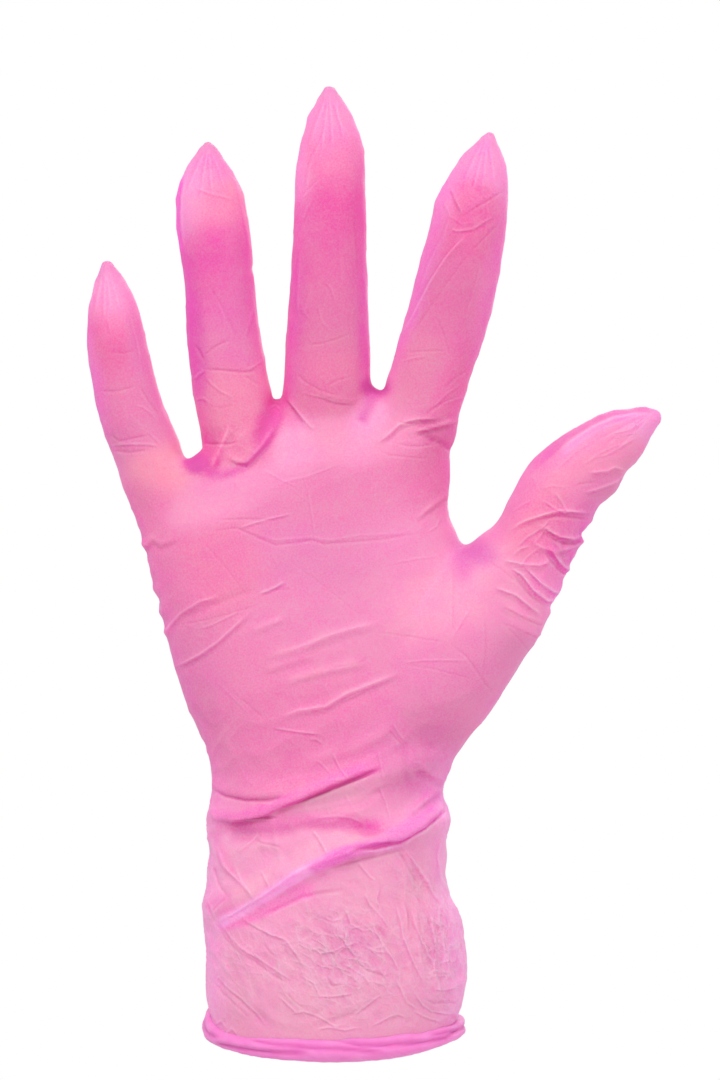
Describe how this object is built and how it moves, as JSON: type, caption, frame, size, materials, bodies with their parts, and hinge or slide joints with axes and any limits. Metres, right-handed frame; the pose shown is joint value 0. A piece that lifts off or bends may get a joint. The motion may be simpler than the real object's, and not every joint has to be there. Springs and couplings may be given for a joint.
{
  "type": "disposable glove",
  "caption": "Thin disposable vinyl glove for a right hand, in its worn shape with spread fingers, loose folds across the wrist and a rolled edge round the open cuff.",
  "frame": {"origin": "middle of the cuff's open mouth, at the foot of the rolled edge, where the wearer's wrist passes", "axes": "+Z from the cuff towards the finger tips, -Y out of the palm, +X towards the thumb"},
  "size_m": [0.1436, 0.05, 0.2388],
  "materials": {
    "film": "satin, thin pink vinyl film",
    "roll": "satin, the same film rolled up several layers thick"
  },
  "bodies": {
    "root": {"glove_film": "film", "cuff_roll": "roll"}
  },
  "joints": []
}
